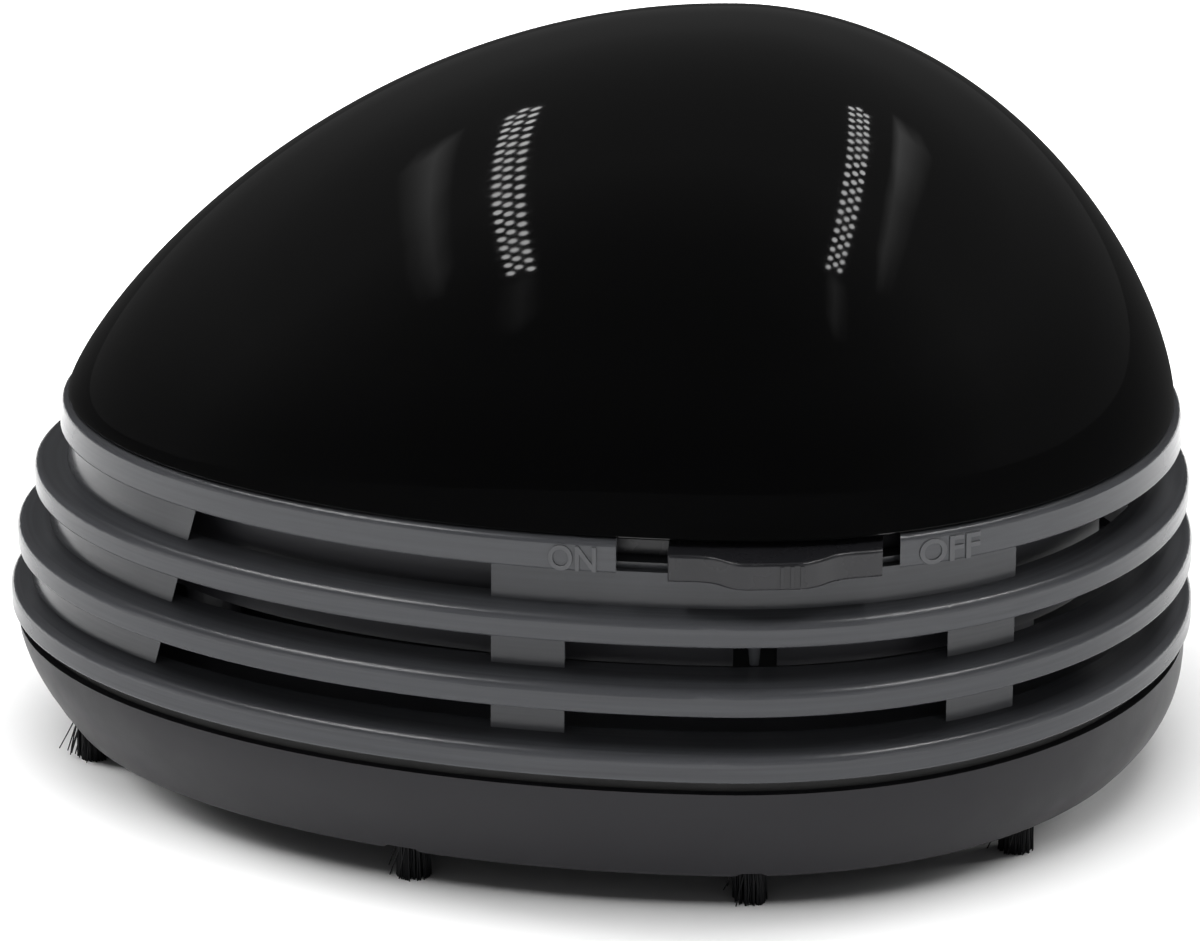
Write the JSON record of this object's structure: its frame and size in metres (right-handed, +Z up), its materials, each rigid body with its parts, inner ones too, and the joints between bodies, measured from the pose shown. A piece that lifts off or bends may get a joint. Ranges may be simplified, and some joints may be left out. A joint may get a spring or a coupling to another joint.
{
  "type": "desktop mini vacuum cleaner",
  "caption": "Egg-shaped desktop vacuum cleaner with a glossy lift-off hood, louvred motor ring, slide switch, fan and a dust tray on bristle tufts.",
  "frame": {"origin": "centre of the length and width, on the surface that the bristle tufts stand on", "axes": "+Z up; -X towards the pointed end and +X towards the blunt end; -Y towards the front, where the switch is"},
  "size_m": [0.12, 0.0916, 0.0769],
  "materials": {
    "hood_gloss": "near-black, polished",
    "ring_plastic": "mid grey, satin moulded",
    "tray_plastic": "dark grey, fine satin",
    "inner_plastic": "black, moulded",
    "knob_plastic": "dark grey, satin",
    "fan_plastic": "pale grey, moulded",
    "cap_plastic": "off-white nylon",
    "seal_rubber": "black, soft",
    "bristle": "black nylon bristle",
    "filter_cloth": "fine woven screen",
    "steel": "plated",
    "screw_steel": "zinc plated",
    "contact_metal": "tinned",
    "cell_jacket": "printed-free dark jacket",
    "wire_sleeve": "red sleeve"
  },
  "bodies": {
    "tray": {"dust_tray": "tray_plastic", "tray_seal": "seal_rubber", "bristle_tufts": "bristle"},
    "housing": {"louvre_ring": "ring_plastic", "chassis": "inner_plastic", "floor_plate": "inner_plastic", "filter_frame": "inner_plastic", "filter_mesh": "filter_cloth", "motor_can": "steel", "motor_end_cap": "cap_plastic", "motor_terminals": "contact_metal", "motor_clamp": "steel", "battery_holder_front": "inner_plastic", "battery_holder_rear": "inner_plastic", "battery_cells": "cell_jacket", "contact_plates": "contact_metal", "contact_springs": "contact_metal", "lead_wires": "wire_sleeve", "switch_case": "steel", "switch_tags": "contact_metal", "housing_screws": "screw_steel", "clamp_screws": "screw_steel", "switch_screws": "screw_steel"},
    "hood": {"hood": "hood_gloss"},
    "switch": {"switch_knob": "knob_plastic", "switch_slider": "cap_plastic"},
    "rotor": {"motor_shaft": "steel", "impeller": "fan_plastic"}
  },
  "joints": [
    {"name": "housing_lift", "type": "slide", "parent": "tray", "child": "housing", "axis": [0, 0, 1], "range_m": [0, 0.04]},
    {"name": "hood_lift", "type": "slide", "parent": "housing", "child": "hood", "axis": [0, 0, 1], "range_m": [0, 0.04]},
    {"name": "switch_slide", "type": "slide", "parent": "housing", "child": "switch", "axis": [-1, 0, 0], "range_m": [0, 0.0033]},
    {"name": "rotor_spin", "type": "hinge", "parent": "housing", "child": "rotor", "pos_m": [0.0125, 0, 0.03], "axis": [0, 0, 1], "continuous": true}
  ]
}
